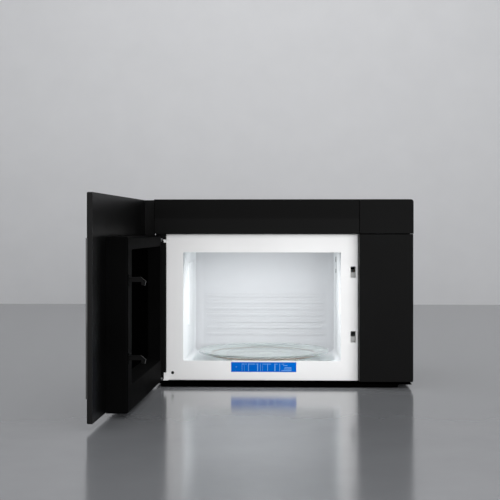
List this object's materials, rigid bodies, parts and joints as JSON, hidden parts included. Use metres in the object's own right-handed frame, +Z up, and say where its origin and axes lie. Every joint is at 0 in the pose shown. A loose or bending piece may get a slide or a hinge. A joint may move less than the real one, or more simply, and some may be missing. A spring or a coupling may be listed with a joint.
{
  "type": "over the range microwave",
  "caption": "Over the range microwave oven with a full-width side-hinged door, glass turntable, vent blower and plain black front.",
  "frame": {"origin": "centre of the cabinet's flat underside", "axes": "+X to the right seen from the front, +Y from the front towards the wall, +Z up"},
  "size_m": [0.6609, 0.9558, 0.437],
  "materials": {
    "black_trim": "satin black moulding",
    "black_case": "satin black powder coat",
    "black_choke": "gloss black",
    "white_enamel": "satin white paint",
    "cavity_enamel": "white enamel",
    "door_pane": "polished black glass",
    "window_pane": "smoked glass",
    "screen_steel": "black perforated steel",
    "clear_glass": "clear soda glass",
    "zinc_steel": "zinc-plated sheet",
    "plated_pins": "plated",
    "filter_mesh": "mill finish",
    "mica": "matte mineral board",
    "copper_winding": "varnished copper",
    "motor_steel": "plain steel",
    "white_plastic": "natural moulding",
    "black_plastic": "fine texture",
    "grey_plastic": "plain",
    "board_laminate": "solder mask",
    "label_film": "printed film"
  },
  "bodies": {
    "cabinet": {"base_pan": "black_case", "grease_filters": "filter_mesh", "lamp_housing": "zinc_steel", "cooktop_bulb": "clear_glass", "outer_wrapper": "black_case", "cord_gland": "black_plastic", "rear_panel": "zinc_steel", "top_band": "black_trim", "top_cap": "black_trim", "control_column": "black_trim", "front_frame": "white_enamel", "cavity_liner": "cavity_enamel", "waveguide_cover": "mica", "cavity_vent_cover": "cavity_enamel", "latch_board": "white_plastic", "microswitches": "black_plastic", "hinge_plates": "white_enamel", "hinge_pins": "plated_pins", "turntable_motor": "motor_steel", "blower_housing": "zinc_steel", "blower_motor": "motor_steel", "charcoal_filter": "black_plastic", "waveguide": "zinc_steel", "magnetron_frame": "zinc_steel", "magnetron_tube": "copper_winding", "transformer_core": "zinc_steel", "transformer_windings": "copper_winding", "capacitor": "motor_steel", "capacitor_clamp": "zinc_steel", "high_voltage_diode": "black_plastic", "fan_housing": "black_plastic", "fan_motor": "motor_steel", "noise_filter_board": "board_laminate", "cavity_lamp": "zinc_steel", "thermal_cutouts": "black_plastic", "frame_label": "label_film", "screws": "plated_pins"},
    "door": {"door_panel": "black_trim", "door_glass": "door_pane", "door_back_cover": "black_trim", "door_choke": "black_choke", "door_window": "window_pane", "door_screen": "screen_steel", "hinge_brackets": "zinc_steel", "touch_board": "board_laminate", "display": "black_plastic", "latch_spring": "plated_pins"},
    "latch": {"latch_hooks": "black_plastic"},
    "turntable": {"turntable_glass": "clear_glass", "drive_coupler": "white_plastic"},
    "roller_ring": {"roller_ring": "white_plastic"},
    "roller_1": {"roller_1": "white_plastic"},
    "roller_2": {"roller_2": "white_plastic"},
    "roller_3": {"roller_3": "white_plastic"},
    "blower_rotor": {"blower_rotor": "white_plastic"},
    "fan_rotor": {"fan_blade": "white_plastic"},
    "lamp_cover": {"lamp_cover": "clear_glass"},
    "switch_plunger_upper": {"switch_plunger_upper": "grey_plastic"},
    "switch_plunger_middle": {"switch_plunger_middle": "grey_plastic"},
    "switch_plunger_lower": {"switch_plunger_lower": "grey_plastic"}
  },
  "joints": [
    {"name": "door_hinge", "type": "hinge", "parent": "cabinet", "child": "door", "pos_m": [-0.2895, -0.1648, 0.2], "axis": [0, 0, 1], "range_deg": [-8, 91.8]},
    {"name": "latch_slide", "type": "slide", "parent": "door", "child": "latch", "axis": [0, 0, 1], "range_m": [0, 0.004], "stiffness_N_per_m": 250, "springref_m": -0.004, "deforming": ["latch_spring"]},
    {"name": "turntable_spin", "type": "hinge", "parent": "cabinet", "child": "turntable", "pos_m": [-0.049, 0.014, 0.05], "axis": [0, 0, 1], "continuous": true},
    {"name": "roller_ring_spin", "type": "hinge", "parent": "cabinet", "child": "roller_ring", "pos_m": [-0.049, 0.014, 0.046], "axis": [0, 0, 1], "continuous": true},
    {"name": "roller_1_spin", "type": "hinge", "parent": "roller_ring", "child": "roller_1", "pos_m": [-0.049, 0.109, 0.0465], "axis": [0, 1, 0], "continuous": true},
    {"name": "roller_2_spin", "type": "hinge", "parent": "roller_ring", "child": "roller_2", "pos_m": [-0.13127, -0.0335, 0.0465], "axis": [-0.866, -0.5, 0], "continuous": true},
    {"name": "roller_3_spin", "type": "hinge", "parent": "roller_ring", "child": "roller_3", "pos_m": [0.03327, -0.0335, 0.0465], "axis": [0.866, -0.5, 0], "continuous": true},
    {"name": "blower_spin", "type": "hinge", "parent": "cabinet", "child": "blower_rotor", "pos_m": [0, 0.11, 0.374], "axis": [1, 0, 0], "continuous": true},
    {"name": "fan_spin", "type": "hinge", "parent": "cabinet", "child": "fan_rotor", "pos_m": [0.2157, 0, 0.27], "axis": [0, 1, 0], "continuous": true},
    {"name": "lamp_cover_hinge", "type": "hinge", "parent": "cabinet", "child": "lamp_cover", "pos_m": [0, -0.0875, 0.0053], "axis": [1, 0, 0], "range_deg": [0, 60]},
    {"name": "switch_upper_press", "type": "slide", "parent": "cabinet", "child": "switch_plunger_upper", "axis": [1, 0, 0], "range_m": [0, 0.0012], "stiffness_N_per_m": 600, "springref_m": -0.0006},
    {"name": "switch_middle_press", "type": "slide", "parent": "cabinet", "child": "switch_plunger_middle", "axis": [1, 0, 0], "range_m": [0, 0.0012], "stiffness_N_per_m": 600, "springref_m": -0.0006},
    {"name": "switch_lower_press", "type": "slide", "parent": "cabinet", "child": "switch_plunger_lower", "axis": [1, 0, 0], "range_m": [0, 0.0012], "stiffness_N_per_m": 600, "springref_m": -0.0006}
  ],
  "couplings": [
    {"joint": "roller_ring_spin", "follows": "turntable_spin", "ratio": 0.5},
    {"joint": "roller_1_spin", "follows": "turntable_spin", "ratio": -8.8785},
    {"joint": "roller_2_spin", "follows": "turntable_spin", "ratio": -8.8785},
    {"joint": "roller_3_spin", "follows": "turntable_spin", "ratio": -8.8785}
  ]
}
